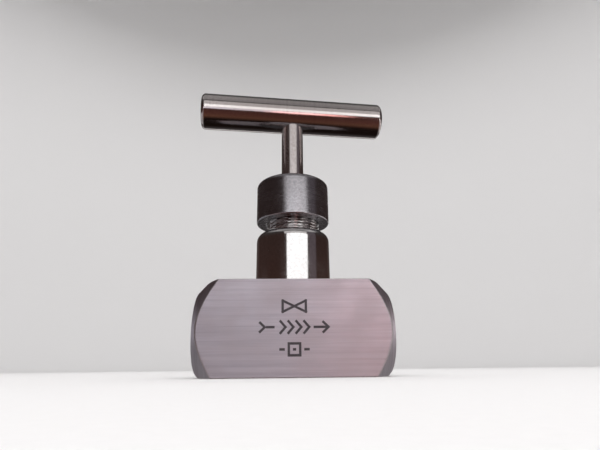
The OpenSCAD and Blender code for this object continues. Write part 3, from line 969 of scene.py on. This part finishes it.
def gland_cap_piece():
    low, top = CAP_LOW[2], CAP_HIGH[2]
    bore_r, hole_r, groove_r = NECK_R + 0.05, STEM_HOLE_R + 0.1, 6.87
    wiper_low, wiper_high = box_mm("stem_wiper")
    thread = Thread(low + 0.4, CAP_WEB_Z - 2.2, bore_r, NECK_PITCH, CAP_THREAD_DEPTH, inside=True)
    cap = turned("gland_cap_steel", [
        (bore_r, low + 0.4, 0), (bore_r + 0.4, low, 0.1), (CAP_R - 0.3, low, 0.25),
        (CAP_R, low + 0.5, 0.35), (CAP_R, top - CAP_CHAMFER * 0.62, 1.2),
        (CAP_R - CAP_CHAMFER, top, 1.3), (hole_r + 0.35, top, 0.1),
        (hole_r, top - 0.35, 0.1), (hole_r, wiper_high[2] + 0.05, 0), (groove_r, wiper_high[2] + 0.05, 0.1),
        (groove_r, wiper_low[2] - 0.05, 0.1), (hole_r, wiper_low[2] - 0.05, 0), (hole_r, CAP_WEB_Z, 0.1),
        (bore_r, CAP_WEB_Z, 0.2),
    ], threads=(thread,))
    made_of(cap, turned_steel("satin_cap", (0.26, 0.255, 0.27), (0.41, 0.405, 0.43),
                              0.18, 0.26, 0.16, 0.35, spread=0.3))
    carve(cap, rod("cap_spanner_drill", SPANNER_R, CAP_R - SPANNER_DEPTH, CAP_R + 1,
                   around_z(90) @ along_x(1, CAP_SPANNER_Z)))
    return finish_piece(cap, "valve_body", "cap_steel", "gland_cap")


# ---------------------------------------------------------------- stem and handle

def stem_piece():
    low, top = STEM_LOW[2], STEM_HIGH[2]
    collar_r, socket_r, groove_r = 6.35, 3.06, 3.95
    clip_low, clip_high = box_mm("needle_clip")
    socket_top = NEEDLE_HIGH[2] + 4.05
    thread = Thread(STEM_THREAD_LOW + 0.4, STEM_THREAD_HIGH - 0.2, STEM_THREAD_R, NECK_PITCH,
                    STEM_THREAD_DEPTH)
    stem = turned("stem_steel", [
        (socket_r, low, 0.1), (collar_r, low, 0.3), (collar_r, STEM_THREAD_LOW, 0.1),
        (STEM_THREAD_R - 0.3, STEM_THREAD_LOW, 0), (STEM_THREAD_R, STEM_THREAD_LOW + 0.4, 0),
        (STEM_THREAD_R, STEM_THREAD_HIGH, 0.2), (STEM_R, STEM_THREAD_HIGH + STEM_THREAD_R - STEM_R, 0.4),
        (STEM_R, top - 0.5, 0.2), (STEM_R - 0.5, top, 0.2), (0, top, 0), (0, socket_top, 0),
        (socket_r, socket_top, 0.2), (socket_r, clip_high[2] + 0.1, 0.1),
        (groove_r, clip_high[2] + 0.1, 0.1),
        (groove_r, clip_low[2] - 0.1, 0.1), (socket_r, clip_low[2] - 0.1, 0.1),
    ], threads=(thread,), turns=144, place=Matrix.Rotation(BAR_TURN, 4, "Z"))
    flat = prism("screw_flat_cut", [(-8, STEM_FLAT_Y), (8, STEM_FLAT_Y), (8, 9), (-8, 9)],
                 BAR_Z - SCREW_R - 1, top + 1, Matrix.Rotation(BAR_TURN, 4, "Z"))
    made_of(stem, turned_steel("polished_stem", (0.62, 0.585, 0.58), (0.74, 0.70, 0.695),
                               0.13, 0.21, 0.09, 0.15))
    carve(stem, flat)
    return finish_piece(stem, "stem", "stem_steel", "stem")


def t_bar_piece():
    turn = Matrix.Rotation(BAR_TURN, 4, "Z")
    edge = 1.2
    bar = turned("t_bar_steel", [
        (0, -BAR_HALF_L, 0), (BAR_R - edge, -BAR_HALF_L, 0.7), (BAR_R, -BAR_HALF_L + edge, 0.8),
        (BAR_R, -10, 0), (BAR_R, 0, 0), (BAR_R, 10, 0),
        (BAR_R, BAR_HALF_L - edge, 0.8), (BAR_R - edge, BAR_HALF_L, 0.7), (0, BAR_HALF_L, 0),
    ], place=turn @ along_x(1, BAR_Z))
    behind = turn @ Matrix.Translation((0, 0, BAR_Z * MM)) @ Matrix.Rotation(-math.pi / 2, 4, "X")
    screw_hole = turned("screw_drill", [
        (0, 0, 0), (SCREW_R + 0.01, 0, 0), (SCREW_R + 0.01, BAR_R - 0.9, 0),
        (SCREW_R + 1.2, BAR_R + 0.3, 0), (SCREW_R + 1.2, BAR_R + 1, 0), (0, BAR_R + 1, 0),
    ], turns=64, place=behind)
    made_of(bar, turned_steel("polished_bar", (0.52, 0.485, 0.475), (0.64, 0.605, 0.595),
                              0.08, 0.15, 0.11, 0.15, lying=(BAR_TURN, BAR_Z)))
    carve(bar, rod("stem_drill", STEM_R + 0.02, BAR_Z - BAR_R - 1, STEM_HIGH[2] + 0.5), screw_hole)
    return finish_piece(bar, "stem", "bar_steel", "t_bar")


# ---------------------------------------------------------------- everything in its place

def finish_inner_nodes():
    """The pieces that stay as the frame has them get their own finishes."""
    machined = turned_steel("machined_steel", (0.48, 0.47, 0.47), (0.66, 0.65, 0.66), 0.22, 0.32, 0.15, 0.4)
    dull = turned_steel("annealed_ring", (0.38, 0.36, 0.35), (0.52, 0.49, 0.47), 0.4, 0.5, 0.2, 0.4)
    ground = turned_steel("ground_pin", (0.36, 0.36, 0.38), (0.52, 0.52, 0.55), 0.18, 0.28, 0.08, 0.3)
    black = turned_steel("black_screw", (0.03, 0.03, 0.033), (0.07, 0.07, 0.075), 0.35, 0.45, 0.2, 0.4)
    white = soft_material("packing_white", (0.80, 0.80, 0.76), (0.90, 0.90, 0.87), 0.42, 900)
    grey = soft_material("adapter_grey", (0.08, 0.08, 0.085), (0.14, 0.14, 0.15), 0.55, 1200)
    rubber = soft_material("wiper_black", (0.012, 0.012, 0.012), (0.03, 0.03, 0.03), 0.7, 1500)
    finishes = {
        "seat_steel": machined, "soft_metal": dull, "pin_steel": ground, "screw_steel": black,
        "packing_ptfe": white, "adapter_plastic": grey, "wiper_rubber": rubber,
    }
    for part in frame["record"]["subparts"]:
        if part["material_slot"] in finishes:
            slots = frame["nodes"][part["node"]].data.materials
            slots.clear()
            slots.append(finishes[part["material_slot"]])


place_camera()
light_studio()
surround_studio()
lay_floor()
body_piece()
bonnet_piece()
gland_cap_piece()
stem_piece()
t_bar_piece()
finish_inner_nodes()
bpy.context.scene.view_settings.view_transform = "Standard"
